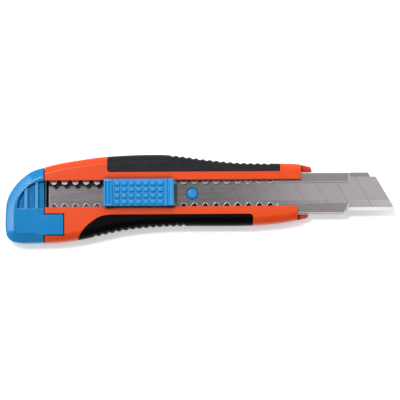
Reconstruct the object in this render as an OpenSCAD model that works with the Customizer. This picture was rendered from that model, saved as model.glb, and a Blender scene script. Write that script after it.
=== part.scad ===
// Snap-off utility knife: moulded handle with rubber grips, a toothed steel guide rail,
// a thumb slider that locks in the rail's notches, a scored blade and a pull-off end cap.
// +X points to the blade's tip, +Y across the handle, +Z up from the back face.
// Lengths along X are measured from the rear end; from_rear() moves them to the origin.

/* [Handle] */
// Distance from the rear end to the origin, which lies in the back face
origin_x = 80; // [70:1:90]
// Thickness from the back face to the front face
body_t = 12.6; // [12.6:0.1:13.4]
// Rear end to the seam between end cap and handle
seam_x = 19.8; // [19.6:0.1:20]
// Rear end to the front face's nose, above the slot
nose_x = 148.2; // [147:0.2:149]
// Rear end to the tip of the upper prong
prong_x = 153.7; // [153:0.1:154]
// How much shorter the nose is below the slot
nose_step = 1.8; // [1:0.1:2]
// Width of the slot in the front face
slot_w = 13.4; // [13.3:0.1:13.6]
// Thickness of the rubber skin over the handle
grip_skin = 1.6; // [1.4:0.1:1.8]
// Spacing of the ribs on the grips
rib_pitch = 3.4; // [3.2:0.1:3.6]

/* [Rail] */
// Outer width of the steel channel
rail_w = 20.3; // [20.3:0.1:20.6]
// Outer height of the channel
rail_h = 6.4; // [6.4:0.1:6.6]
// Height of the channel's back above the back face
rail_z = 3.2; // [3.1:0.1:3.3]
// Sheet thickness
sheet_t = 0.9; // [0.8:0.05:0.9]
// Spacing of the teeth on the lips
tooth_pitch = 5.425; // [5.4:0.025:5.45]
// Number of teeth on each lip
tooth_count = 21; // [20:1:21]

/* [Blade] */
// Width of the blade
blade_w = 17.1; // [17:0.1:17.4]
// Thickness of the blade
blade_t = 0.5; // [0.45:0.05:0.5]
// Rear end of the knife to the blade's tip
tip_x = 195.6; // [190:0.2:196]
// Spacing of the score lines
segment_pitch = 10.7; // [10:0.1:11]
// Angle between the cutting edge and the score lines
segment_angle = 60; // [55:1:62]

/* [Slider] */
// Rear end of the knife to the rear of the thumb button
button_x = 49.5; // [49:0.5:50]
// Length of the thumb button
button_l = 35; // [34:0.5:35.5]
// Width of the thumb button inside the slot
button_w = 12.9; // [12.8:0.1:13]
// Height of the button's top above the back face
button_top = 16.8; // [16.6:0.1:17.6]
// Travel of the button when it is pressed
press = 1.1; // [1:0.05:1.1]
// Diameter of the peg that holds the blade
peg_d = 5.4; // [5:0.1:5.6]
// Diameter of the blade's hole
hole_d = 6.3; // [6.2:0.1:6.5]

/* [Hidden] */
$fn = 48;

orange = [0.93, 0.33, 0.17];
blue = [0.18, 0.55, 0.83];
rubber = [0.08, 0.08, 0.1];
steel = [0.68, 0.67, 0.68];
spring_steel = [0.5, 0.5, 0.53];

clear = 0.1;              // gap between parts that slide or slip together
fit = 0.05;               // gap between parts that are moulded or pushed together
far = 40;                 // more than any half-width of the knife
rail_rear = 21.4;
lip_end = 172.5;
lip_slant = 2.6;          // how far the lower lip's end leans back
tongue_end = 182.4;       // front end of the rail's back
rail_top = rail_z + rail_h;
channel_floor = rail_z + sheet_t;
lip_z = rail_top - sheet_t;
channel_half = rail_w / 2 - sheet_t;
tooth_first = 24.2;
tooth_half_l = 1.75;
tooth_tip = 4.6;          // half the gap between opposite teeth
tooth_t = 0.6;
tooth_rise = 0.6;         // the teeth are bent up towards their tips
lip_half = 6.9;           // half the gap between the lips, without their teeth
plain_from = 136;         // the lips have no notches from here to the nose
plain_tip = 5.2;

blade_z = lip_z - 0.2 - blade_t;
cutting_y = -9;           // the blade's cutting edge
spine_y = cutting_y + blade_w;
blade_rear = 83;
peg_x = 93.6;
carrier_z = channel_floor + 0.2;
carrier_floor = carrier_z + 0.6;
carrier_half = 9.1;
plate_z = carrier_floor + 1.6; // underside of the lock plate, button released
plate_t = 0.7;
lug_x = tooth_first + 8.5 * tooth_pitch; // midway between two teeth
lug_top = rail_top - 0.1;
stem_x = button_x + 5.5;
stem_l = 24;
stem_half = 4.3;
button_z = rail_top + press + 0.3;

tab_x = 29.3;
tab_y = [-20.7, -10.2];
tab_t = 2;
tab_gap = 0.25;
web_z = [channel_floor + 0.2, channel_floor + 2.5]; // the cap's webs
prong_z = 7;              // height of the side prongs at the nose

front_round = [4.2, 4];   // width and height of the rounding at the front edge
back_round = [3, 3];
cap_bevel = [4.8, 3.2];
overshoot = 0.2;          // how far a loft reaches past the face that cuts it

// Outline of the whole handle, from the upper nose round the rear end to the lower nose
outline_marks = [
    [162, 12.4], [153.6, 13.2], [146, 14.6], [132, 15], [116, 15.5], [100, 17.2], [84, 19.3],
    [70, 19.7], [50, 18.8], [36, 17], [27, 15.5], [20, 13.8], [14, 12], [9.5, 9.2], [5.5, 5.4],
    [2.3, 0.8], [0.6, -3.6], [0, -9], [0, -18], [1.7, -22.3], [6.2, -24.2], [14, -24.4],
    [28, -23.8], [38, -22.4], [48, -20.3], [60, -17.9], [74, -16.5], [90, -15.9], [108, -16],
    [126, -15.8], [140, -14.5], [152, -12.2], [162, -10]
];
// Inner edge of the lower grip, from the handle's edge to the start of its straight part
lower_grip_marks = [
    [36.2, -28], [36.4, -22.6], [39.8, -17.2], [44, -13.6], [48, -11.4], [53, -10.65]
];

// ---- curves and lofts ----

function curve_point(a, b, c, d, t) =
    0.5 * (2 * b + (c - a) * t + (2 * a - 5 * b + 4 * c - d) * t * t
    + (3 * b - a - 3 * c + d) * t * t * t);

// A smooth curve through the marks, with steps points between each pair
function smooth_curve(marks, steps) =
    let (last = len(marks) - 1)
    [
        for (i = [0 : last - 1])
            for (s = [0 : steps - 1])
                curve_point(
                    marks[max(i - 1, 0)], marks[i], marks[i + 1], marks[min(i + 2, last)],
                    s / steps
                ),
        marks[last]
    ];

// A counter-clockwise loop moved inwards by depth
function inset_loop(loop, depth) =
    let (n = len(loop))
    [
        for (i = [0 : n - 1])
            let (along = loop[(i + 1) % n] - loop[(i + n - 1) % n], unit = along / norm(along))
            loop[i] + depth * [-unit[1], unit[0]]
    ];

outline = smooth_curve(outline_marks, 2);

function y_at(loop, i, x) =
    loop[i][1] + (loop[i + 1][1] - loop[i][1]) * (x - loop[i][0]) / (loop[i + 1][0] - loop[i][0]);

// Height of the handle's upper or lower edge at a length x
function edge_y(x, upper) =
    let (
        found = [
            for (i = [0 : len(outline) - 2])
                if ((outline[i][0] - x) * (outline[i + 1][0] - x) <= 0) y_at(outline, i, x)
        ]
    )
    upper ? max(found) : min(found);

// Rings as [height, inset] pairs, from the back to the front
module loft(rings) {
    n = len(outline);
    points = [
        for (ring = rings)
            for (p = inset_loop(outline, ring[1])) [p[0], p[1], ring[0]]
    ];
    sides = [
        for (k = [0 : len(rings) - 2])
            for (i = [0 : n - 1])
                for (half = [0, 1])
                    let (j = (i + 1) % n, low = k * n, high = low + n)
                    half == 0 ? [low + i, high + i, high + j] : [low + i, high + j, low + j]
    ];
    back = [for (i = [0 : n - 1]) i];
    front = [for (i = [n - 1 : -1 : 0]) (len(rings) - 1) * n + i];
    polyhedron(points, concat([back], sides, [front]), convexity = 6);
}

// Rings of a rounded edge as [depth, inset] pairs; the last one lies just outside the face,
// so that the face itself is a clean cut
function edge_rings(rounding, shrink) =
    let (width = rounding[0] - shrink, height = rounding[1])
    concat(
        [for (a = [0 : 30 : 60]) [shrink + height * (1 - sin(a)), shrink + width * (1 - cos(a))]],
        [[shrink - overshoot, shrink + width * 1.1]]
    );

// A loft with the back and front edges given as rings, cut to the two faces
module rounded_block(back, front, shrink) {
    n = len(back);
    intersection() {
        loft(concat(
            [for (i = [n - 1 : -1 : 0]) back[i]],
            [for (ring = front) [body_t - ring[0], ring[1]]]
        ));
        block([-1, prong_x + 2], [-far, far], [shrink, body_t - shrink]);
    }
}

// The handle's rounded form, smaller all round by shrink
module handle_form(shrink = 0) {
    rounded_block(edge_rings(back_round, shrink), edge_rings(front_round, shrink), shrink);
}

// A block between two lengths, two widths and two heights
module block(x, y, z) {
    translate([x[0], y[0], z[0]])
        cube([x[1] - x[0], y[1] - y[0], z[1] - z[0]]);
}

module from_rear() {
    translate([-origin_x, 0, 0])
        children();
}

// ---- handle ----

module upper_grip_area() {
    corner_r = 1.4;
    rear = 51.2;
    inner_y = 10.8;
    arc = [
        for (a = [180 : 30 : 270])
            [rear + corner_r * (1 + cos(a)), inner_y + corner_r * (1 + sin(a))]
    ];
    translate([0, 0, -1])
        linear_extrude(body_t + 2)
            polygon(concat([[rear, far]], arc, [[137.6, inner_y], [138.8, far]]));
}

module lower_grip_area() {
    inner_y = lower_grip_marks[len(lower_grip_marks) - 1][1];
    end = [[122.6, inner_y], [123.8, inner_y - 0.6], [124, inner_y - 1.8], [122, -far]];
    translate([0, 0, -1])
        linear_extrude(body_t + 2)
            polygon(concat([[36.2, -far]], smooth_curve(lower_grip_marks, 3), end));
}

// The handle's solid form with the rubber's skin taken off
module bare_handle() {
    difference() {
        intersection() {
            handle_form();
            block([seam_x, prong_x], [-far, far], [-1, body_t + 1]);
        }
        difference() {
            upper_grip_area();
            handle_form(grip_skin);
        }
        difference() {
            lower_grip_area();
            handle_form(grip_skin);
        }
    }
}

// Room for the rail, open at the nose and at the seam
module rail_pocket() {
    half = rail_w / 2 + clear;
    block([seam_x - 1, prong_x + 1], [-half, half], [rail_z - fit, rail_top + fit]);
}

// What is cut away at the nose: the front face above the prongs, the prongs' rounded ends,
// and the mouth between them
module nose_cut() {
    lower_x = nose_x - nose_step;
    block([nose_x, prong_x + 1], [0, far], [prong_z, body_t + 1]);
    block([lower_x, prong_x + 1], [-far, 0], [prong_z, body_t + 1]);
    block([lower_x - 1, prong_x + 1], [-10.7, 11.1], [-1, rail_z + 0.1]);
    block([lower_x - 1, prong_x + 1], [-10.7, 11.1], [rail_z, prong_z + 0.1]);
    translate([0, 0, -1])
        linear_extrude(body_t + 2) {
            polygon([
                [prong_x + 1, 5], [prong_x, 5], [prong_x, 12], [prong_x - 0.5, 13],
                [prong_x - 2, 14], [prong_x - 2, far], [prong_x + 1, far]
            ]);
            polygon([
                [prong_x + 1, -5], [prong_x + 1, -far], [prong_x - 4, -far], [prong_x - 4, -13.2],
                [prong_x - 2.4, -12.6], [prong_x - 2, -11.8], [prong_x - 2, -5]
            ]);
        }
}

// Rooms in the wide rear: the belly, the place of the cap's upper tongue, and the deep gap
// behind the rail
module rear_rooms() {
    tongue_z = [rail_z + 0.5, rail_z + 4.7];
    block([seam_x - 1, rail_rear + clear], [-9.2, 9.2], [1.2, rail_z + 1]);
    translate([0, 0, 2.4])
        linear_extrude(7)
            polygon([[seam_x - 1, -12.6], [seam_x - 1, -21.6], [32, -21], [40, -16], [43, -12.6]]);
    block([seam_x - 1, 28], [rail_w / 2, 12.4], tongue_z);
}

module handle_body() {
    half = slot_w / 2;
    color(orange)
        from_rear()
            difference() {
                bare_handle();
                nose_cut();
                block([seam_x - 1, nose_x + 1], [-half, half], [rail_z, body_t + 1]);
                block([seam_x - 1, tab_x + tab_gap], [tab_y[0] - tab_gap, tab_y[1] + tab_gap],
                    [body_t - tab_t - clear, body_t + 1]);
                rail_pocket();
                rear_rooms();
            }
}

// Grooves through the rubber's outer edge, between two lengths
module rib_grooves(from, to, upper) {
    groove_r = 1;
    side = upper ? 1 : -1;
    for (x = [from : rib_pitch : to])
        translate([x, edge_y(x, upper) + side * 0.25, -1])
            cylinder(r = groove_r, h = body_t + 2, $fn = 24);
}

module upper_grip() {
    color(rubber)
        from_rear()
            difference() {
                intersection() {
                    handle_form();
                    upper_grip_area();
                }
                handle_form(grip_skin - fit);
                rib_grooves(84, 134, true);
            }
}

module lower_grip() {
    color(rubber)
        from_rear()
            difference() {
                intersection() {
                    handle_form();
                    lower_grip_area();
                }
                handle_form(grip_skin - fit);
                rib_grooves(45, 90, false);
            }
}

// ---- guide rail ----

// One tooth as a half ellipse on the lip's edge, on the +Y side; the first one is cut short
module tooth_outline(rear_l) {
    root = lip_half + 0.2;
    depth = lip_half - tooth_tip;
    arc = [
        for (a = [-90 : 15 : 90])
            [max(tooth_half_l * sin(a), -rear_l), lip_half - depth * cos(a)]
    ];
    polygon(concat([[-min(rear_l, tooth_half_l), root]], arc, [[tooth_half_l, root]]));
}

// One row of teeth, bent up towards the tips
module teeth() {
    slope = tooth_rise / (lip_half + 0.2 - tooth_tip);
    tip_y = tooth_tip - 0.5;
    tip_z = lip_z + tooth_rise + 0.5 * slope;
    intersection() {
        translate([0, 0, lip_z - 1])
            linear_extrude(4)
                for (i = [0 : tooth_count - 1])
                    translate([tooth_first + i * tooth_pitch, 0])
                        tooth_outline(i == 0 ? tooth_first - rail_rear - 0.2 : tooth_half_l);
        translate([rail_rear, 0, 0])
            rotate([90, 0, 90])
                linear_extrude(plain_from - rail_rear)
                    polygon([
                        [lip_half + 0.2, lip_z], [lip_half + 0.2, lip_z + tooth_t],
                        [tip_y, tip_z + tooth_t], [tip_y, tip_z]
                    ]);
    }
}

// One lip on the +Y side; its front end leans back by slant
module lip(slant) {
    translate([0, 0, lip_z])
        linear_extrude(sheet_t)
            polygon([
                [rail_rear, rail_w / 2], [rail_rear, lip_half], [plain_from, lip_half],
                [plain_from, plain_tip], [lip_end, plain_tip], [lip_end - slant, rail_w / 2]
            ]);
}

// The channel's back, whose tongue reaches out under the blade's spine
module rail_back() {
    half = rail_w / 2;
    tongue_half = half + 0.5;
    lower_end = lip_end - lip_slant;
    translate([0, 0, rail_z])
        linear_extrude(sheet_t)
            polygon([
                [rail_rear, half], [rail_rear, -half], [lower_end, -half],
                [tongue_end + 1.6, spine_y - 0.5], [tongue_end, tongue_half],
                [lip_end + 0.3, tongue_half], [lip_end, half]
            ]);
}

module guide_rail() {
    stop_x = 139;
    color(steel)
        from_rear() {
            rail_back();
            block([stop_x, stop_x + 2], [-3, 3], [channel_floor - sheet_t / 2, channel_floor + 2]);
            for (side = [0, 1])
                mirror([0, side, 0]) {
                    slant = side * lip_slant;
                    block([rail_rear, lip_end - slant], [channel_half, rail_w / 2],
                        [rail_z, rail_top]);
                    lip(slant);
                    teeth();
                }
        }
}

// ---- end cap ----

// Quarter-round recess in the cap's front, with two ribs left standing
module cap_recess() {
    centre = [seam_x, -7.2];
    recess_r = 13.7;
    floor_z = body_t - 2.5;
    difference() {
        intersection() {
            translate([centre[0], centre[1], floor_z])
                cylinder(r = recess_r, h = 4);
            block([0, seam_x + 1], [centre[1], far], [floor_z, body_t + 1]);
        }
        block([9.5, 11.3], [-far, far], [0, body_t - 0.6]);
        block([15, 16.6], [-far, far], [0, body_t - 0.6]);
    }
}

module end_cap() {
    wall = 2.4;
    bevel = [
        [cap_bevel[1], 0],
        [-overshoot, cap_bevel[0] * (1 + overshoot / cap_bevel[1])]
    ];
    color(blue)
        from_rear() {
            difference() {
                intersection() {
                    rounded_block(edge_rings(back_round, 0), bevel, 0);
                    block([-1, seam_x - 2 * fit], [-far, far], [-1, body_t + 1]);
                }
                intersection() {
                    translate([0, 0, wall])
                        linear_extrude(body_t - 2.5 - 2 * wall)
                            polygon(inset_loop(outline, wall));
                    block([wall, seam_x + 1], [-far, far], [0, body_t]);
                }
                cap_recess();
            }
            intersection() {
                union() {
                    block([0, seam_x - 1], [-9.2, 9.2], web_z);
                    block([0, 27], [-20.8, -12.9], web_z);
                }
                linear_extrude(body_t)
                    polygon(inset_loop(outline, wall / 2));
            }
            block([17, 27], [10.75, 12.25], [rail_z + 0.7, rail_z + 4.5]);
            block([15, tab_x], tab_y, [body_t - tab_t, body_t]);
        }
}

// ---- slider ----

module slider_carrier() {
    tongue_x = 100.5;
    block_end = blade_rear - 0.2;
    block_top = blade_z + blade_t;
    color(blue)
        from_rear() {
            difference() {
                block([button_x + 0.7, block_end], [-carrier_half, carrier_half], [carrier_z, block_top]);
                block([stem_x - 0.2, stem_x + stem_l + 0.2], [-7.3, 7.3], [carrier_floor, block_top + 1]);
            }
            difference() {
                block([block_end - 1, tongue_x], [-8.3, 8.3], [carrier_z, blade_z]);
                block([block_end, tongue_x + 1], [-far, -7.2], [blade_z - 1.2, blade_z + 1]);
            }
            translate([peg_x, 0, blade_z - 1])
                cylinder(d = peg_d, h = 2.1);
        }
}

// The blade's section across its width: flat back, two ground bevels at the cutting edge
module blade_section() {
    ground_y = -3.7;
    final_y = cutting_y + 1.7;
    polygon([
        [spine_y, 0], [spine_y, blade_t], [ground_y, blade_t], [final_y, 0.34],
        [cutting_y, 0.05], [cutting_y, 0]
    ]);
}

module blade() {
    length = tip_x - blade_rear;
    score_depth = 0.14;
    score_w = 0.35;
    lean = 90 - segment_angle;
    blunting = 0.4;
    color(steel)
        from_rear()
            difference() {
                translate([blade_rear, 0, blade_z])
                    rotate([90, 0, 90])
                        linear_extrude(length)
                            blade_section();
                translate([tip_x, cutting_y, 0])
                    rotate([0, 0, lean])
                        block([0, far], [-far, far], [0, body_t]);
                block([tip_x - blunting, tip_x + 1], [-far, far], [0, body_t]);
                for (i = [1 : 8])
                    translate([tip_x - i * segment_pitch, cutting_y, blade_z + blade_t - score_depth])
                        rotate([0, 0, lean])
                            block([-score_w / 2, score_w / 2], [-far, far], [0, 1]);
                translate([peg_x, 0, blade_z - 1])
                    cylinder(d = hole_d, h = 2);
            }
}

// A bowed leaf between the carrier's floor and the lock plate
module return_spring() {
    leaf_t = 0.25;
    half_l = 9;
    rise = plate_z - carrier_floor - leaf_t - 0.02;
    bow_r = (half_l * half_l + rise * rise) / (2 * rise);
    color(spring_steel)
        from_rear()
            translate([stem_x + stem_l / 2, 0, carrier_floor + rise - bow_r])
                intersection() {
                    rotate([90, 0, 0])
                        difference() {
                            cylinder(r = bow_r + leaf_t, h = 6, center = true);
                            cylinder(r = bow_r, h = 7, center = true);
                        }
                    block([-half_l, half_l], [-3, 3], [bow_r - rise, bow_r + 1]);
                }
}

module lock_plate() {
    plate_half_l = 4.7;
    lug_half_l = 0.75;
    color(spring_steel)
        from_rear()
            translate([lug_x, 0, 0]) {
                block([-plate_half_l, plate_half_l], [-6.7, 6.7], [plate_z, plate_z + plate_t]);
                for (side = [0, 1])
                    mirror([0, side, 0])
                        block([-lug_half_l, lug_half_l], [5.2, 6.7], [plate_z, lug_top]);
            }
}

// Raised studs on the thumb button, in columns along X and rows across
module thumb_studs() {
    columns = 7;
    rows = 4;
    stud = [2.7, 2.5, 1.4];
    pitch = [3.6, 3.1];
    for (i = [0 : columns - 1])
        for (j = [0 : rows - 1])
            translate([
                button_x + 5.4 + i * pitch[0], (j - (rows - 1) / 2) * pitch[1] - stud[1] / 2,
                button_top - stud[2] - 0.2
            ])
                cube(stud);
}

module thumb_button() {
    pad_z = button_top - 1.2;
    rim_y = [-6.55, 6.95];    // the rim laps over the slot's upper edge
    rim_z = body_t + press + 0.2;
    color(blue)
        from_rear() {
            translate([button_x, 0, 0])
                difference() {
                    union() {
                        block([0, button_l], [-button_w / 2, button_w / 2], [button_z, button_top]);
                        block([0, button_l], rim_y, [rim_z, button_top]);
                    }
                    block([4.2, 30.5], [-far, far], [pad_z, far]);
                    block([31.6, 33.4], [-far, far], [button_top - 0.8, far]);
                    for (x = [0.9, 2.6])
                        block([x, x + 0.7], [-5.5, 5.5], [button_top - 0.7, far]);
                }
            thumb_studs();
            block([stem_x, stem_x + stem_l], [-stem_half, stem_half], [plate_z + plate_t, button_z + 1]);
        }
}

handle_body();
upper_grip();
lower_grip();
guide_rail();
end_cap();
slider_carrier();
blade();
return_spring();
thumb_button();
lock_plate();
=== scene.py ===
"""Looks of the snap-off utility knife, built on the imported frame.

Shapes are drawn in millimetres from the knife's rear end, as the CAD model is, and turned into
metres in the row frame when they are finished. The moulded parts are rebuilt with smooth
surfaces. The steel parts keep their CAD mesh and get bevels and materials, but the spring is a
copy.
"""
import math

import bmesh
import bpy
from mathutils import Matrix, Vector
from mathutils.bvhtree import BVHTree


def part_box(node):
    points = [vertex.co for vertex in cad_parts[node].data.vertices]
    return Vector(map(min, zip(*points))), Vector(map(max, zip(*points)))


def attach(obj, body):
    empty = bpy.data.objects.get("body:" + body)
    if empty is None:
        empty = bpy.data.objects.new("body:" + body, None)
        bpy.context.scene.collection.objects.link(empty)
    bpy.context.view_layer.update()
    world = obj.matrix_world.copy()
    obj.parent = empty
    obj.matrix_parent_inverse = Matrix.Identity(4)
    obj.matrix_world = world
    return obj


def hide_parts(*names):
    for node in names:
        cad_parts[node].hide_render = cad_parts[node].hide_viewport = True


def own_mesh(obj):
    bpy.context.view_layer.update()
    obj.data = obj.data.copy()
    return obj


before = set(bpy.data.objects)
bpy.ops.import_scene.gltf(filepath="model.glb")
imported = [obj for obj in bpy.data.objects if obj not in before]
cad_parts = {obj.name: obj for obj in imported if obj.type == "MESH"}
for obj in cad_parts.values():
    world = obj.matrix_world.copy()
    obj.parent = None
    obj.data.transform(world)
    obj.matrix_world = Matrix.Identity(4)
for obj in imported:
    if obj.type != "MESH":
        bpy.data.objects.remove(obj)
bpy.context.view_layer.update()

MM = 0.001
ORIGIN_X = 80.0      # mm from the rear end to the origin
FAR = 60.0           # mm, beyond every edge of the knife


def in_mm(corner):
    """A corner in the row frame as millimetres from the rear end."""
    return Vector((corner.x / MM + ORIGIN_X, corner.y / MM, corner.z / MM))


# ---- driving dimensions, from the frame ----

HANDLE_LOW, HANDLE_HIGH = (in_mm(c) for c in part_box("handle_body"))
RAIL_LOW, RAIL_HIGH = (in_mm(c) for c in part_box("guide_rail"))
CAP_HIGH = in_mm(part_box("end_cap")[1])
BLADE_LOW, BLADE_HIGH = (in_mm(c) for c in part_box("blade"))
BUTTON_LOW, BUTTON_HIGH = (in_mm(c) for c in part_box("thumb_button"))
CARRIER_LOW, CARRIER_HIGH = (in_mm(c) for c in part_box("slider_carrier"))

TOP = HANDLE_HIGH.z              # height of the front face
SEAM_X = HANDLE_LOW.x
PRONG_X = HANDLE_HIGH.x
NOSE_X = PRONG_X - 5.5
NOSE_STEP = 1.8                  # how much shorter the nose is below the slot
PRONG_Z = 7.0
MOUTH_Y = (-10.7, 11.1)          # room between the prongs
SLOT_HALF = 6.7
SLOT_Z = 8.0                     # the slot cuts through everything above this
RAIL_HALF = 10.15
RAIL_REAR = RAIL_LOW.x
GAP_HALF = 9.2                   # half width of the room behind the rail
BELLY = [                        # room in the handle's thick lower part, for the cap's web
    (SEAM_X - 1, -12.6), (SEAM_X - 1, -21.6), (32, -21), (40, -16), (43, -12.6),
]
TONGUE_ROOM_Y = (RAIL_HALF, 12.4)
SKIN = 1.6                       # thickness of the rubber
TAB_X = CAP_HIGH.x
TAB_Y = (-20.7, -10.2)
TAB_T = 2.0
TAB_GAP = 0.25
CLEAR = 0.1
RECESS_CORNER = (SEAM_X, -7.2)   # centre of the cap's quarter-round recess
RECESS_R = 13.7
RECESS_DEPTH = 2.5
CAP_RIBS_X = ((9.5, 11.3), (15.0, 16.6))
CAP_RIB_DROP = 0.6               # how far the ribs' tops lie below the face
CAP_WALL = 2.4
CAP_WEBS = (                     # x and y of the two webs that enter the handle
    ((CAP_WALL - 0.5, SEAM_X - 1), (-9.2, 9.2)), ((CAP_WALL - 0.5, 27), (-20.8, -12.9)),
)
SEAM_GAP = 0.4                   # dark line between the cap and the handle
BUTTON_Z = 11.0                  # underside of the button's broad part
RIM_Z = 13.9                     # underside of the rim that laps over the slot
PAD_Z = BUTTON_HIGH.z - 1.2      # the studded pad
PAD_X = (4.2, 30.5)              # these lengths are from the button's rear end
GROOVES_X = (0.9, 2.6)
FRONT_GROOVE_X = (31.7, 32.8)
STEM_X = (5.5, 29.5)
STUDS = (7, 4)                   # how many along and across
FIRST_STUD_X = 6.75
STUD_PITCH = (3.6, 3.1)
STUD_HALF = (1.45, 1.3)
STUD_RINGS = [
    (PAD_Z - 0.2, 0.0), (PAD_Z + 0.2, 0.0), (PAD_Z + 0.5, 0.14), (PAD_Z + 0.72, 0.4),
    (PAD_Z + 0.82, 0.75),
]
PEG_X = 93.6
PEG_R = 2.7
RIB_PITCH = 3.4                  # the grips' grooves
RIB_R = 1.0
UPPER_RIBS_X = (84, 134)
LOWER_RIBS_X = (45, 90)

FRONT_ROUND = (4.2, 4.0)         # width and height of the rounded front edge
BACK_ROUND = (3.0, 3.0)
CAP_BEVEL = (4.8, 3.2)

JOIN_DISTANCE = 0.015            # points closer than this are one
CAD_JOIN_DISTANCE = 0.002        # the same for the CAD meshes
LEVEL_ANGLE = math.radians(0.2)  # faces that meet flatter than this are one
BEVEL_ANGLE = math.radians(34)   # sharper edges than this are rounded
SHARP_ANGLE = math.radians(38)   # and sharper ones than this stay sharp in the shading

OUTLINE_MARKS = [
    (162, 12.4), (153.6, 13.2), (146, 14.6), (132, 15), (116, 15.5), (100, 17.2), (84, 19.3),
    (70, 19.7), (50, 18.8), (36, 17), (27, 15.5), (20, 13.8), (14, 12), (9.5, 9.2), (5.5, 5.4),
    (2.3, 0.8), (0.6, -3.6), (0, -9), (0, -18), (1.7, -22.3), (6.2, -24.2), (14, -24.4),
    (28, -23.8), (38, -22.4), (48, -20.3), (60, -17.9), (74, -16.5), (90, -15.9), (108, -16),
    (126, -15.8), (140, -14.5), (152, -12.2), (162, -10),
]
LOWER_GRIP_MARKS = [
    (36.2, -28), (36.4, -22.6), (39.8, -17.2), (44, -13.6), (48, -11.4), (53, -10.65),
]
UPPER_GRIP_Y = 10.8
UPPER_GRIP_X = 51.2


# ---- curves ----

def smooth_curve(marks, steps):
    """A smooth curve through the marks, with steps points between each pair."""
    marks = [Vector(m) for m in marks]
    last = len(marks) - 1
    points = []
    for i in range(last):
        a, b = marks[max(i - 1, 0)], marks[i]
        c, d = marks[i + 1], marks[min(i + 2, last)]
        for s in range(steps):
            t = s / steps
            points.append(0.5 * (
                2 * b + (c - a) * t + (2 * a - 5 * b + 4 * c - d) * t ** 2
                + (3 * b - a - 3 * c + d) * t ** 3
            ))
    points.append(marks[last])
    return points


def inset(curve, depth):
    """A curve moved to its left by depth. The handle's outline is open at the nose end."""
    if depth == 0:
        return curve
    last = len(curve) - 1
    moved = []
    for i, point in enumerate(curve):
        along = (curve[min(i + 1, last)] - curve[max(i - 1, 0)]).normalized()
        moved.append(point + depth * Vector((-along.y, along.x)))
    return moved


OUTLINE = smooth_curve(OUTLINE_MARKS, 6)


def edge_y(x, upper):
    """Height of the handle's upper or lower edge at a length x."""
    found = []
    for a, b in zip(OUTLINE, OUTLINE[1:]):
        if (a.x - x) * (b.x - x) <= 0 and a.x != b.x:
            found.append(a.y + (b.y - a.y) * (x - a.x) / (b.x - a.x))
    return max(found) if upper else min(found)


# ---- mesh building, in millimetres from the rear end ----

INTO_FRAME = Matrix.Scale(MM, 4) @ Matrix.Translation((-ORIGIN_X, 0, 0))


def new_object(name, bm):
    bmesh.ops.recalc_face_normals(bm, faces=bm.faces)
    mesh = bpy.data.meshes.new(name)
    bm.to_mesh(mesh)
    bm.free()
    obj = bpy.data.objects.new(name, mesh)
    bpy.context.scene.collection.objects.link(obj)
    return obj


def loft(name, rings, curve=None):
    """A solid through insets of a curve. Rings are (height, inset) pairs from the back up."""
    loop = curve or OUTLINE
    bm = bmesh.new()
    rows = []
    for height, depth in rings:
        rows.append([bm.verts.new((p.x, p.y, height)) for p in inset(loop, depth)])
    for low, high in zip(rows, rows[1:]):
        for i in range(len(loop)):
            j = (i + 1) % len(loop)
            bm.faces.new((low[i], low[j], high[j], high[i]))
    bm.faces.new(rows[0][::-1])
    bm.faces.new(rows[-1])
    return new_object(name, bm)


def prism(name, loop, low, high):
    """A loop pushed up from one height to another."""
    return loft(name, [(low, 0.0), (high, 0.0)], [Vector(p) for p in loop])


def block(name, x, y, z):
    return prism(name, [(x[0], y[0]), (x[1], y[0]), (x[1], y[1]), (x[0], y[1])], z[0], z[1])


def cylinder(name, centre, radius, low, high, steps=32):
    turns = [2 * math.pi * i / steps for i in range(steps)]
    loop = [(centre[0] + radius * math.cos(a), centre[1] + radius * math.sin(a)) for a in turns]
    return prism(name, loop, low, high)


def remove(obj):
    mesh = obj.data
    bpy.data.objects.remove(obj)
    bpy.data.meshes.remove(mesh)


def bake_modifiers(obj):
    """Replaces the object's mesh by what its modifiers make of it."""
    graph = bpy.context.evaluated_depsgraph_get()
    made = bpy.data.meshes.new_from_object(obj.evaluated_get(graph))
    old = obj.data
    obj.modifiers.clear()
    obj.data = made
    bpy.data.meshes.remove(old)


def combine(obj, other, operation):
    """Cuts, joins or intersects obj with other, which is used up."""
    change = obj.modifiers.new(operation, "BOOLEAN")
    change.operation = operation
    change.object = other
    change.solver = "MANIFOLD"
    bake_modifiers(obj)
    remove(other)
    return obj


def cut(obj, other):
    return combine(obj, other, "DIFFERENCE")


def keep(obj, other):
    return combine(obj, other, "INTERSECT")


def join(obj, other):
    return combine(obj, other, "UNION")


def tidy(obj):
    """Joins points that a boolean left on top of each other, and faces that lie level."""
    bm = bmesh.new()
    bm.from_mesh(obj.data)
    bmesh.ops.remove_doubles(bm, verts=bm.verts, dist=JOIN_DISTANCE)
    bmesh.ops.dissolve_degenerate(bm, edges=bm.edges, dist=JOIN_DISTANCE)
    bmesh.ops.dissolve_limit(bm, angle_limit=LEVEL_ANGLE, verts=bm.verts, edges=bm.edges)
    bm.to_mesh(obj.data)
    bm.free()


def round_edges(obj, width, segments=2):
    """A bevel on the sharp edges, with its width in the object's own units."""
    bevel = obj.modifiers.new("soft_edges", "BEVEL")
    bevel.width = width
    bevel.segments = segments
    bevel.limit_method = "ANGLE"
    bevel.angle_limit = BEVEL_ANGLE
    bevel.use_clamp_overlap = False
    return bevel


def soften(obj, width, segments=2):
    """Rounds the edges, and puts points thrown out by a sliver back on the old surface."""
    furthest = 0.35 * width
    tidy(obj)
    bm = bmesh.new()
    bm.from_mesh(obj.data)
    surface = BVHTree.FromBMesh(bm)
    bm.free()
    round_edges(obj, width, segments)
    bake_modifiers(obj)
    for point in obj.data.vertices:
        nearest, _, _, distance = surface.find_nearest(point.co)
        if distance > furthest:
            point.co = nearest


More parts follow.
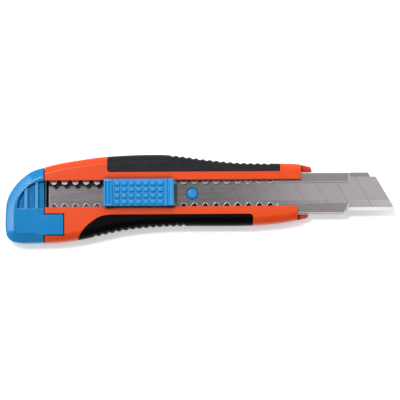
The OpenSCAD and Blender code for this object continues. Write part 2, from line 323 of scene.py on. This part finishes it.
def finish_surface(obj, width, segments=2):
    """Rounds the edges, shades smoothly and moves the mesh into the row frame."""
    if width:
        soften(obj, width, segments)
    obj.data.shade_smooth()
    obj.data.set_sharp_from_angle(angle=SHARP_ANGLE)
    level = obj.modifiers.new("level_faces", "WEIGHTED_NORMAL")
    level.keep_sharp = True
    bake_modifiers(obj)
    obj.data.transform(INTO_FRAME)


# ---- rounded forms ----

def edge_rings(rounding, shrink, steps):
    """A rounded edge as [depth, inset] pairs, from the side to the face."""
    width = rounding[0] - shrink
    rings = []
    for i in range(steps + 1):
        a = math.pi / 2 * i / steps
        depth = shrink + rounding[1] * (1 - math.sin(a))
        rings.append((depth, shrink + width * (1 - math.cos(a))))
    return rings


def form_rings(shrink=0.0, steps=9):
    back = edge_rings(BACK_ROUND, shrink, steps)
    front = edge_rings(FRONT_ROUND, shrink, steps)
    return back[::-1] + [(TOP - down, inwards) for down, inwards in front]


def upper_grip_area(name):
    corner_r = 1.4
    arc = []
    for i in range(7):
        a = math.pi + math.pi / 2 * i / 6
        x = UPPER_GRIP_X + corner_r * (1 + math.cos(a))
        arc.append((x, UPPER_GRIP_Y + corner_r * (1 + math.sin(a))))
    loop = [(UPPER_GRIP_X, FAR)] + arc + [(137.6, UPPER_GRIP_Y), (138.8, FAR)]
    return prism(name, loop, -2, TOP + 2)


def lower_grip_area(name):
    inner_y = LOWER_GRIP_MARKS[-1][1]
    end = [(122.6, inner_y), (123.8, inner_y - 0.6), (124, inner_y - 1.8)]
    curve = [(36.2, -FAR)] + smooth_curve(LOWER_GRIP_MARKS, 5)
    return prism(name, curve + end + [(122, -FAR)], -2, TOP + 2)


def rubber_space(area):
    """The room outside the handle's core within one grip's area."""
    return cut(area, loft("core", form_rings(SKIN)))


# ---- handle ----

def cut_nose(obj):
    """The front face ends before the prongs, whose tips are rounded; the mouth lies between."""
    lower_x = NOSE_X - NOSE_STEP
    upper = [(PRONG_X + 1, 5), (PRONG_X + 1, FAR), (PRONG_X - 3, FAR), (PRONG_X - 3, 14.4),
             (PRONG_X - 1.6, 13.9), (PRONG_X - 0.6, 13.1), (PRONG_X, 11.8), (PRONG_X, 5)]
    tip = PRONG_X - 2
    lower = [(tip + 3, -5), (tip, -5), (tip, -11.7), (tip - 0.5, -12.6), (tip - 2, -13.2),
             (tip - 2, -FAR), (tip + 3, -FAR)]
    cut(obj, block("upper_nose", (NOSE_X, PRONG_X + 1), (0, FAR), (PRONG_Z, TOP + 1)))
    cut(obj, block("lower_nose", (lower_x, PRONG_X + 1), (-FAR, 0.1), (PRONG_Z, TOP + 1)))
    cut(obj, block("mouth", (lower_x - 1, PRONG_X + 1), MOUTH_Y, (-1, PRONG_Z + 0.1)))
    cut(obj, prism("upper_tip", upper, -1, TOP + 1))
    cut(obj, prism("lower_tip", lower, -1, TOP + 1))


def handle_shell():
    """The orange moulding, with room for the rubber, the rail, the slider and the cap."""
    obj = loft("handle_shell", form_rings())
    keep(obj, block("ends", (SEAM_X, PRONG_X), (-FAR, FAR), (-1, TOP + 1)))
    cut(obj, rubber_space(upper_grip_area("upper")))
    cut(obj, rubber_space(lower_grip_area("lower")))
    cut_nose(obj)
    slot_y = (-SLOT_HALF, SLOT_HALF)
    cut(obj, block("slot", (SEAM_X - 1, NOSE_X + 1), slot_y, (SLOT_Z, TOP + 1)))
    pocket_half = RAIL_HALF + CLEAR
    cut(obj, block("pocket", (SEAM_X - 1, PRONG_X + 1), (-pocket_half, pocket_half),
                   (RAIL_LOW.z - CLEAR, RAIL_HIGH.z + CLEAR)))
    gap_y = (-GAP_HALF, GAP_HALF)
    cut(obj, block("gap_behind_rail", (SEAM_X - 1, RAIL_REAR + CLEAR), gap_y, (1.2, 5)))
    cut(obj, block("tab_room", (SEAM_X - 1, TAB_X + TAB_GAP),
                   (TAB_Y[0] - TAB_GAP, TAB_Y[1] + TAB_GAP), (TOP - TAB_T - CLEAR, TOP + 1)))
    cut(obj, prism("belly", BELLY, 2.4, 9.4))
    cut(obj, block("tongue_room", (SEAM_X - 1, 28), TONGUE_ROOM_Y, (3.7, 7.9)))
    finish_surface(obj, 0.22)
    return obj


def grip(name, area, ribs_x, upper):
    """A rubber skin over the handle's core, with round grooves along its outer edge."""
    obj = keep(loft(name, form_rings()), area(name + "_area"))
    cut(obj, loft("core", form_rings(SKIN - 0.05)))
    side = 1 if upper else -1
    count = int((ribs_x[1] - ribs_x[0]) / RIB_PITCH) + 1
    for i in range(count):
        x = ribs_x[0] + i * RIB_PITCH
        centre = (x, edge_y(x, upper) + side * 0.25)
        cut(obj, cylinder("groove", centre, RIB_R, -2, TOP + 2, 20))
    finish_surface(obj, 0.3, 3)
    return obj


# ---- end cap ----

def cap_rings():
    width, height = CAP_BEVEL
    back = edge_rings(BACK_ROUND, 0.0, 7)
    front = [
        (height + 0.9, 0.0), (height + 0.35, 0.08), (height - 0.1, 0.38), (height - 0.6, 1.0),
        (0.42, width - 0.75), (0.14, width - 0.28), (0.0, width + 0.15),
    ]
    return back[::-1] + [(TOP - down, inwards) for down, inwards in front]


def cap_recess():
    """Quarter-round recess with two ribs left standing in it."""
    obj = cylinder("recess", RECESS_CORNER, RECESS_R, TOP - RECESS_DEPTH, TOP + 3, 96)
    keep(obj, block("quarter", (-1, SEAM_X + 1), (RECESS_CORNER[1], FAR), (0, TOP + 4)))
    for x in CAP_RIBS_X:
        cut(obj, block("rib", x, (-FAR, FAR), (0, TOP - CAP_RIB_DROP)))
    return obj


def end_cap():
    """The blue cap: a hollow shell with its recess, two webs, a tongue and the flat tab."""
    web_z = (RAIL_LOW.z + 1.1, RAIL_LOW.z + 3.4)
    obj = loft("end_cap_shell", cap_rings())
    keep(obj, block("rear_part", (-2, SEAM_X - CLEAR), (-FAR, FAR), (-1, TOP + 1)))
    cut(obj, block("seam", (SEAM_X - SEAM_GAP, SEAM_X), (-FAR, FAR), (2.5, TOP + 1)))
    inner = prism("inner", inset(OUTLINE, CAP_WALL), CAP_WALL, TOP - RECESS_DEPTH - CAP_WALL)
    cut(obj, keep(inner, block("room", (CAP_WALL, SEAM_X + 1), (-FAR, FAR), (0, TOP))))
    cut(obj, cap_recess())
    for x, y in CAP_WEBS:
        web = block("web", x, y, web_z)
        join(obj, keep(web, prism("within", inset(OUTLINE, CAP_WALL / 2), 0, TOP)))
    join(obj, block("tongue", (17, 27), (10.75, 12.25), (3.9, 7.7)))
    tab_y = (TAB_Y[0] + 0.15, TAB_Y[1] - 0.15)
    join(obj, block("tab", (15, TAB_X - 0.15), tab_y, (TOP - TAB_T, TOP)))
    finish_surface(obj, 0.3, 3)
    return obj


# ---- slider ----

def bump_of_rings(name, centre, half, rings, steps, squareness):
    """A raised bump; its rings are (height, inset) pairs and its corners fuller if squarer."""
    bm = bmesh.new()
    rows = []
    for height, depth in rings:
        row = []
        for i in range(steps):
            a = 2 * math.pi * i / steps
            reach = max(abs(math.cos(a)), abs(math.sin(a))) ** -squareness
            x = centre[0] + (half[0] - depth) * reach * math.cos(a)
            y = centre[1] + (half[1] - depth) * reach * math.sin(a)
            row.append(bm.verts.new((x, y, height)))
        rows.append(row)
    for low, high in zip(rows, rows[1:]):
        for i in range(steps):
            j = (i + 1) % steps
            bm.faces.new((low[i], low[j], high[j], high[i]))
    bm.faces.new(rows[0][::-1])
    bm.faces.new(rows[-1])
    return new_object(name, bm)


def thumb_button():
    """The blue button: a rim over the slot, a sunk pad with studs, grooved ends and a stem."""
    rear, front = BUTTON_LOW.x, BUTTON_HIGH.x
    top = BUTTON_HIGH.z
    obj = block("thumb_button_form", (rear, front), (BUTTON_LOW.y + 0.1, 6.45), (BUTTON_Z, top))
    join(obj, block("rim", (rear, front), (BUTTON_LOW.y, BUTTON_HIGH.y), (RIM_Z, top)))
    pad_x = (rear + PAD_X[0], rear + PAD_X[1])
    cut(obj, block("pad", pad_x, (-FAR, FAR), (PAD_Z, FAR)))
    front_x = (rear + FRONT_GROOVE_X[0], rear + FRONT_GROOVE_X[1])
    cut(obj, block("front_groove", front_x, (-FAR, FAR), (top - 0.8, FAR)))
    for x in GROOVES_X:
        cut(obj, block("groove", (rear + x, rear + x + 0.7), (-5.5, 5.5), (top - 0.7, FAR)))
    soften(obj, 0.34, 3)
    for i in range(STUDS[0]):
        for j in range(STUDS[1]):
            x = rear + FIRST_STUD_X + STUD_PITCH[0] * i
            y = STUD_PITCH[1] * (j - (STUDS[1] - 1) / 2)
            join(obj, bump_of_rings("stud", (x, y), STUD_HALF, STUD_RINGS, 24, 0.6))
    stem_x = (rear + STEM_X[0], rear + STEM_X[1])
    join(obj, block("stem", stem_x, (-4.3, 4.3), (BUTTON_LOW.z, BUTTON_Z + 1)))
    finish_surface(obj, 0)
    return obj


def slider_carrier():
    """Block under the button with a tongue in front, whose domed peg holds the blade."""
    low, high = CARRIER_LOW, CARRIER_HIGH
    block_end = BLADE_LOW.x - 0.2
    block_top = BLADE_HIGH.z
    obj = block("slider_carrier_form", (low.x, block_end), (low.y, high.y), (low.z, block_top))
    well_x = (BUTTON_LOW.x + STEM_X[0] - 0.2, BUTTON_LOW.x + STEM_X[1] + 0.2)
    cut(obj, block("well", well_x, (-7.3, 7.3), (low.z + 0.6, FAR)))
    tongue = block("tongue", (block_end - 1, high.x), (-8.3, 8.3), (low.z, BLADE_LOW.z))
    step = block("step", (block_end, 3 * FAR), (-FAR, -7.2), (BLADE_LOW.z - 1.2, FAR))
    join(obj, cut(tongue, step))
    soften(obj, 0.12)
    rise = high.z - BLADE_HIGH.z
    shoulder = 0.4 * PEG_R
    rings = [(BLADE_LOW.z - 1, 0.0)]
    for i in range(7):
        a = math.pi / 2 * i / 6
        rings.append((BLADE_HIGH.z + rise * math.sin(a), shoulder * (1 - math.cos(a))))
    join(obj, bump_of_rings("peg", (PEG_X, 0), (PEG_R, PEG_R), rings, 40, 0))
    finish_surface(obj, 0)
    return obj


# ---- materials ----

def new_material(name):
    """A new material, its node tree and its Principled shader."""
    mat = bpy.data.materials.new(name)
    mat.use_nodes = True
    return mat, mat.node_tree, mat.node_tree.nodes["Principled BSDF"]


def add(tree, kind, **values):
    node = tree.nodes.new(kind)
    for key, value in values.items():
        if key in node.inputs:
            node.inputs[key].default_value = value
        else:
            setattr(node, key, value)
    return node


def coordinates(tree, stretch=(1, 1, 1)):
    """Object coordinates, stretched along each axis."""
    source = add(tree, "ShaderNodeTexCoord")
    mapping = add(tree, "ShaderNodeMapping")
    mapping.inputs["Scale"].default_value = stretch
    tree.links.new(source.outputs["Object"], mapping.inputs["Vector"])
    return mapping.outputs["Vector"]


def noise(tree, vector, scale, detail=3.0, roughness=0.5):
    node = add(tree, "ShaderNodeTexNoise", Scale=scale, Detail=detail, Roughness=roughness)
    tree.links.new(vector, node.inputs["Vector"])
    return node.outputs["Fac"]


def spread(tree, value, low, high, from_low=0.3, from_high=0.7):
    """A value stretched from one range to another."""
    node = add(tree, "ShaderNodeMapRange")
    node.inputs["From Min"].default_value = from_low
    node.inputs["From Max"].default_value = from_high
    node.inputs["To Min"].default_value = low
    node.inputs["To Max"].default_value = high
    tree.links.new(value, node.inputs["Value"])
    return node.outputs["Result"]


MIX_FACTOR, MIX_FIRST, MIX_SECOND = 0, 6, 7      # a colour Mix node's inputs
MIX_RESULT = 2                                   # and its output


def blend_colour(tree, factor, first, second):
    node = add(tree, "ShaderNodeMix", data_type="RGBA")
    node.inputs[MIX_FIRST].default_value = (*first, 1)
    node.inputs[MIX_SECOND].default_value = (*second, 1)
    tree.links.new(factor, node.inputs[MIX_FACTOR])
    return node.outputs[MIX_RESULT]


def painted_crevice_shade(tree, colour, dark, reach):
    """Paints shade into a colour in corners and gaps closer together than reach in millimetres."""
    node = add(tree, "ShaderNodeAmbientOcclusion", Distance=reach * MM, samples=12)
    mix = add(tree, "ShaderNodeMix", data_type="RGBA")
    mix.inputs[MIX_FIRST].default_value = (*dark, 1)
    tree.links.new(spread(tree, node.outputs["AO"], 0, 1, 0.42, 0.9), mix.inputs[MIX_FACTOR])
    tree.links.new(colour, mix.inputs[MIX_SECOND])
    return mix.outputs[MIX_RESULT]


def bump(tree, shader, height, distance, strength=1.0):
    node = add(tree, "ShaderNodeBump", Distance=distance, Strength=strength)
    tree.links.new(height, node.inputs["Height"])
    tree.links.new(node.outputs["Normal"], shader.inputs["Normal"])


def moulded_plastic(name, colour, worn, rough=(0.2, 0.26), gloss=0.3, reach=2.0):
    """Satin plastic: a fine mould texture, faint streaks of handling and uneven colour."""
    mat, tree, shader = new_material(name)
    shader.inputs["Specular IOR Level"].default_value = gloss
    vector = coordinates(tree)
    cloudy = spread(tree, noise(tree, vector, 90, 4), 0, 1)
    shown = blend_colour(tree, cloudy, colour, worn)
    # the base colour gets painted shade, this dark colour, in its corners and gaps
    dark = [0.05 * part for part in colour]
    tree.links.new(painted_crevice_shade(tree, shown, dark, reach), shader.inputs["Base Color"])
    rubbed = noise(tree, coordinates(tree, (0.25, 1, 1)), 420, 5, 0.6)
    tree.links.new(spread(tree, rubbed, *rough), shader.inputs["Roughness"])
    bump(tree, shader, noise(tree, vector, 2600, 2), 0.006 * MM)
    return mat


def soft_rubber(name, colour, dusty, gloss):
    """Matt black rubber: fine pebbled skin and a little pale dust in the texture."""
    mat, tree, shader = new_material(name)
    shader.inputs["Specular IOR Level"].default_value = gloss
    vector = coordinates(tree)
    dust = spread(tree, noise(tree, vector, 260, 6, 0.65), 0, 1, 0.45, 0.8)
    tree.links.new(blend_colour(tree, dust, colour, dusty), shader.inputs["Base Color"])
    rough = spread(tree, noise(tree, vector, 700, 3), 0.42, 0.6)
    tree.links.new(rough, shader.inputs["Roughness"])
    pebbles = add(tree, "ShaderNodeTexVoronoi", Scale=2400.0)
    tree.links.new(vector, pebbles.inputs["Vector"])
    bump(tree, shader, pebbles.outputs["Distance"], 0.03 * MM, 0.6)
    return mat


def brushed_metal(name, colour, dark, rough, stretch, depth=0.0003, metallic=0.85):
    """Steel with faint lines and clouds; stretch draws the lines out along an axis."""
    mat, tree, shader = new_material(name)
    shader.inputs["Metallic"].default_value = metallic
    line = noise(tree, coordinates(tree, stretch), 900, 3, 0.6)
    cloud = noise(tree, coordinates(tree), 45, 3)
    mixed = add(tree, "ShaderNodeMath", operation="MULTIPLY")
    tree.links.new(spread(tree, line, 0.7, 1.0), mixed.inputs[0])
    tree.links.new(spread(tree, cloud, 0.6, 1.0), mixed.inputs[1])
    tree.links.new(blend_colour(tree, mixed.outputs[0], dark, colour), shader.inputs["Base Color"])
    tree.links.new(spread(tree, line, *rough), shader.inputs["Roughness"])
    bump(tree, shader, line, depth * MM)
    return mat


# Each moulded plastic paints shade into its crevices out to reach millimetres; the orange reaches
# furthest.
ORANGE = moulded_plastic("orange_abs", (0.76, 0.068, 0.01), (0.72, 0.06, 0.008),
                         rough=(0.3, 0.36), gloss=0.14, reach=4.0)
# a darker copy of the orange, painted on the prongs as shade
PRONG_SHADE_ORANGE = moulded_plastic("prong_painted_shade", (0.68, 0.032, 0.017), (0.64, 0.028, 0.015),
                              rough=(0.3, 0.36), gloss=0.14, reach=2.0)
# near black, painted on the floor behind the rail as the shade in that deep room
SHADED_PLASTIC = moulded_plastic("shaded_plastic", (0.004, 0.006, 0.02), (0.003, 0.005, 0.015),
                                 rough=(0.4, 0.5), gloss=0.1, reach=2.0)
CAP_BLUE = moulded_plastic("cap_blue", (0.003, 0.21, 0.51), (0.003, 0.195, 0.475),
                           rough=(0.13, 0.17), gloss=0.42, reach=1.0)
# a lighter blue, painted on the rib tops as the highlight they catch
RIB_TOP_HIGHLIGHT = moulded_plastic("rib_top_painted_highlight", (0.05, 0.32, 0.72), (0.045, 0.3, 0.68),
                           rough=(0.13, 0.17), gloss=0.42, reach=0.3)
SLIDER_BLUE = moulded_plastic("slider_blue", (0.008, 0.275, 0.64), (0.007, 0.26, 0.61),
                              rough=(0.26, 0.32), gloss=0.3, reach=0.4)
# lit and shaded copies of one rubber: the upper grip's is painted lighter and glossier, the lower
# grip's darker
RUBBER_LIT_COPY = soft_rubber("rubber_painted_lit", (0.004, 0.0043, 0.008), (0.007, 0.0073, 0.0115), 0.18)
RUBBER_SHADED_COPY = soft_rubber("rubber_painted_shaded", (0.0008, 0.0008, 0.0014), (0.002, 0.002, 0.003), 0.04)
RAIL_STEEL = brushed_metal("rail_steel", (0.185, 0.167, 0.176), (0.145, 0.132, 0.139),
                           (0.2, 0.23), (0.05, 1, 1))
# matt sheared steel for the rail's bevels, painted near white as the highlight its edges catch
SHEARED_RIM_HIGHLIGHT = brushed_metal("sheared_rim_painted_highlight", (0.85, 0.8, 0.81), (0.72, 0.68, 0.69),
                             (0.3, 0.4), (1, 1, 1), metallic=0.15)
# pale steel, painted on the upper teeth that lean towards the light as their highlight
BRIGHT_TOOTH_HIGHLIGHT = brushed_metal("tooth_painted_highlight", (0.6, 0.55, 0.58), (0.5, 0.46, 0.48),
                            (0.3, 0.4), (1, 1, 1), metallic=0.15)
# a dimmer painted highlight for the upper teeth in front of the button
DIM_TOOTH_HIGHLIGHT = brushed_metal("tooth_painted_dim_highlight", (0.3, 0.26, 0.275), (0.24, 0.21, 0.22),
                           (0.3, 0.4), (1, 1, 1), metallic=0.3)
# near white, painted on the ground cutting bevel as the highlight it reflects
CUTTING_EDGE_HIGHLIGHT = brushed_metal("cutting_edge_painted_highlight", (0.95, 0.95, 0.94), (0.88, 0.88, 0.87),
                            (0.3, 0.4), (1, 1, 1), metallic=0.1)
# lighter steel, painted on the broad bevel as the reflection it catches
GROUND_BEVEL_SHEEN = brushed_metal("ground_bevel_painted_sheen", (0.38, 0.36, 0.365), (0.34, 0.32, 0.325),
                             (0.17, 0.2), (0.04, 1, 1))
# near black, painted on the lower teeth as the dark reflection they show
TOOTH_DARK_REFLECTION = brushed_metal("tooth_painted_dark_reflection", (0.03, 0.025, 0.03), (0.015, 0.012, 0.015),
                           (0.4, 0.5), (1, 1, 1))
SCORED_STEEL = brushed_metal("scored_steel", (0.225, 0.207, 0.214), (0.2, 0.185, 0.19),
                             (0.17, 0.2), (1, 1, 1))
BLADE_STEEL = brushed_metal("blade_steel", (0.25, 0.23, 0.238), (0.215, 0.2, 0.207),
                            (0.17, 0.2), (0.04, 1, 1))
SPRING_STEEL = brushed_metal("spring_steel", (0.3, 0.3, 0.32), (0.18, 0.18, 0.2),
                             (0.3, 0.45), (0.1, 1, 1))


def paint(obj, *materials):
    """Gives an object these materials, in order, without touching its mesh."""
    while len(obj.data.materials) < len(materials):
        obj.data.materials.append(None)
    for slot, mat in zip(obj.material_slots, materials):
        slot.material = mat


# ---- stage, lights and camera ----

def stage():
    floor = block("floor", (-3000, 3200), (-3000, 3000), (-4, 0))
    floor.data.transform(INTO_FRAME)
    mat, _, shader = new_material("pale_floor")
    shader.inputs["Base Color"].default_value = (0.9, 0.9, 0.9, 1)
    shader.inputs["Roughness"].default_value = 0.9
    shader.inputs["Specular IOR Level"].default_value = 0.2
    shader.inputs["Emission Color"].default_value = (1, 1, 1, 1)
    shader.inputs["Emission Strength"].default_value = 0.42
    paint(floor, mat)


def area_light(name, position, target, size, power):
    data = bpy.data.lights.new(name, "AREA")
    data.shape = "RECTANGLE"
    data.size, data.size_y = size
    data.energy = power
    lamp = bpy.data.objects.new(name, data)
    lamp.location = position
    lamp.rotation_euler = (Vector(target) - Vector(position)).to_track_quat("-Z", "Y").to_euler()
    bpy.context.scene.collection.objects.link(lamp)


def lights():
    world = bpy.data.worlds.new("studio")
    world.use_nodes = True
    tree = world.node_tree
    background = tree.nodes["Background"]
    background.inputs["Strength"].default_value = 1.0
    direction = add(tree, "ShaderNodeTexCoord").outputs["Generated"]
    split = add(tree, "ShaderNodeSeparateXYZ")
    tree.links.new(direction, split.inputs["Vector"])
    height = spread(tree, split.outputs["Z"], 0, 1, 0.45, 0.85)
    sky = blend_colour(tree, height, (0.44, 0.447, 0.455), (0.126, 0.128, 0.13))
    tree.links.new(sky, background.inputs["Color"])
    bpy.context.scene.world = world
    key_direction = Vector((-0.22, 0.3, 1.0)).normalized()
    area_light("key", key_direction * 2.5, (0.0175, 0, 0), (0.36, 0.36), 34)
    area_light("left_strip", (-1.5, 0.7, 0.62), (0.0175, 0, 0), (1.9, 0.46), 13)
    area_light("top_strip", (0.1, 1.1, 0.6), (0.0175, 0, 0), (1.2, 0.4), 5)
    area_light("blade_box", (0.26, 0.12, 0.6), (0.2, 0.03, 0), (0.26, 0.36), 0.55)


def camera():
    """Nearly straight down on the front face, from a little towards the lower edge."""
    centre = Vector((0.0175, -0.0036, 0.0126))
    elevation = math.radians(85)
    distance = 1.2
    width = 0.2
    data = bpy.data.cameras.new("camera")
    data.sensor_width = 36
    data.lens = data.sensor_width * distance / width
    data.dof.use_dof = False
    view = Vector((0, -math.cos(elevation), math.sin(elevation)))
    cam = bpy.data.objects.new("camera", data)
    turn = (-view).to_track_quat("-Z", "Y").to_matrix().to_4x4()
    roll = Matrix.Rotation(math.radians(-0.36), 4, "Z")
    cam.matrix_world = Matrix.Translation(centre + view * distance) @ turn @ roll
    bpy.context.scene.collection.objects.link(cam)
    bpy.context.scene.camera = cam


# ---- assembly ----

def pick_faces(mesh, material, test):
    """Gives the faces that pass the test the material with this number."""
    for face in mesh.polygons:
        if test(face, in_mm(face.center)):
            face.material_index = material


def is_prong(face, centre):
    """The two prongs in front of the nose, whose thin tips are painted a deeper red as shade."""
    nose = NOSE_X if centre.y > 0 else NOSE_X - NOSE_STEP
    return centre.x > nose + 0.1


# These faces are painted near black as the shade that falls in the room behind the rail.
def is_gap_floor(face, centre):
    """The floor of the room behind the rail's rear end, and the step up to the rail."""
    inside = SEAM_X + 0.1 < centre.x < RAIL_REAR + 0.5 and abs(centre.y) < GAP_HALF + 0.3
    return inside and 1 < centre.z < SLOT_Z and face.normal.z > -0.1 and abs(face.normal.y) < 0.5


def is_rib_top(face, centre):
    """The tops of the two ribs in the end cap's recess, painted lighter as a highlight."""
    out = (Vector((centre.x, centre.y)) - Vector(RECESS_CORNER)).length
    drop = TOP - centre.z
    inside = out < RECESS_R and centre.y > RECESS_CORNER[1]
    return inside and CAP_RIB_DROP - 0.1 < drop < CAP_RIB_DROP + 0.2


def is_upper_tooth(face, centre):
    """The tops of the upper lip's teeth, which lean towards the light."""
    return centre.y > 0 and face.normal.y > 0.1 and face.normal.z > 0.5


# the upper teeth behind the button's front, painted pale as the highlight they catch
def is_rear_tooth(face, centre):
    return is_upper_tooth(face, centre) and centre.x < BUTTON_HIGH.x


def is_front_upper_tooth(face, centre):
    """The upper teeth in front of the button, painted a dimmer highlight than those behind."""
    return is_upper_tooth(face, centre) and centre.x > BUTTON_HIGH.x


def is_lower_tooth(face, centre):
    """The tops of the lower lip's teeth in front of the button, painted dark as a dark reflection.
    """
    leans_away = face.normal.y < -0.1 and face.normal.z > 0.5
    return leans_away and centre.y < 0 and centre.x > BUTTON_HIGH.x


def is_cutting_bevel(face, centre):
    """The narrow bevel along the cutting edge, painted near white as its bright highlight."""
    return face.normal.y < -0.12 and face.normal.z > 0.5


def is_ground_bevel(face, centre):
    """The broad shallow bevel behind the cutting edge, painted lighter as a reflection."""
    return -0.12 < face.normal.y < -0.02 and face.normal.z > 0.9


def is_score_line(face, centre):
    """The floors of the shallow grooves where the blade snaps."""
    depth = BLADE_HIGH.z - centre.z
    level = face.normal.z > 0.99 and abs(face.normal.y) < 0.02
    return level and 0.1 < depth < 0.2


# Materials beside a part's own, with the test for their faces. The rail's first one has no
# test, because its bevel uses it.
SPOTS = {
    "handle_body": ((PRONG_SHADE_ORANGE, is_prong), (SHADED_PLASTIC, is_gap_floor)),
    "end_cap": ((RIB_TOP_HIGHLIGHT, is_rib_top),),
    "guide_rail": (
        (SHEARED_RIM_HIGHLIGHT, None), (TOOTH_DARK_REFLECTION, is_lower_tooth), (DIM_TOOTH_HIGHLIGHT, is_front_upper_tooth),
        (BRIGHT_TOOTH_HIGHLIGHT, is_rear_tooth),
    ),
    "blade": (
        (CUTTING_EDGE_HIGHLIGHT, is_cutting_bevel), (SCORED_STEEL, is_score_line),
        (GROUND_BEVEL_SHEEN, is_ground_bevel),
    ),
}


def paint_with_spots(obj, node, base):
    """The part's own material, and its spots on the faces that pass their tests."""
    spots = SPOTS.get(node, ())
    paint(obj, base, *(mat for mat, _ in spots))
    for number, (_, test) in enumerate(spots, 1):
        if test:
            pick_faces(obj.data, number, test)


def rebuilt_parts():
    """The moulded parts, each in place of its CAD node."""
    made = (
        (handle_shell(), "handle_body", "handle", "handle_plastic", ORANGE),
        (grip("upper_grip_skin", upper_grip_area, UPPER_RIBS_X, True),
         "upper_grip", "handle", "grip_rubber", RUBBER_LIT_COPY),
        (grip("lower_grip_skin", lower_grip_area, LOWER_RIBS_X, False),
         "lower_grip", "handle", "grip_rubber", RUBBER_SHADED_COPY),
        (end_cap(), "end_cap", "cap", "blue_plastic", CAP_BLUE),
        (thumb_button(), "thumb_button", "thumb", "blue_plastic", SLIDER_BLUE),
        (slider_carrier(), "slider_carrier", "slider", "blue_plastic", SLIDER_BLUE),
    )
    for obj, node, body, slot, mat in made:
        paint_with_spots(obj, node, mat)
        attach(obj, body)
        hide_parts(node)


def return_spring():
    """A copy of the return spring, between the carrier and the lock plate."""
    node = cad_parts["return_spring"]
    bm = bmesh.new()
    bm.from_mesh(node.data)
    bm.transform(node.matrix_world)
    bmesh.ops.remove_doubles(bm, verts=bm.verts, dist=CAD_JOIN_DISTANCE * MM)
    obj = new_object("return_spring_leaf", bm)
    round_edges(obj, 0.04 * MM)
    bake_modifiers(obj)
    paint(obj, SPRING_STEEL)
    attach(obj, "slider")
    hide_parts("return_spring")
    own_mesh(obj)


def kept_parts():
    """The exact parts keep their CAD mesh, with softened edges and materials."""
    looks = {
        "guide_rail": (0.28, RAIL_STEEL),
        "blade": (0.03, BLADE_STEEL),
        "lock_plate": (0.08, SPRING_STEEL),
    }
    for name, (width, mat) in looks.items():
        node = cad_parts[name]
        paint_with_spots(node, name, mat)
        join_points = node.modifiers.new("join_points", "WELD")
        join_points.merge_threshold = CAD_JOIN_DISTANCE * MM
        bevel = round_edges(node, width * MM)
        # the rail's bevels take its sheared rim material, painted near white as a highlight
        if name == "guide_rail":
            bevel.material = 1


bpy.context.scene.view_settings.view_transform = "Standard"
camera()
lights()
stage()
rebuilt_parts()
return_spring()
kept_parts()
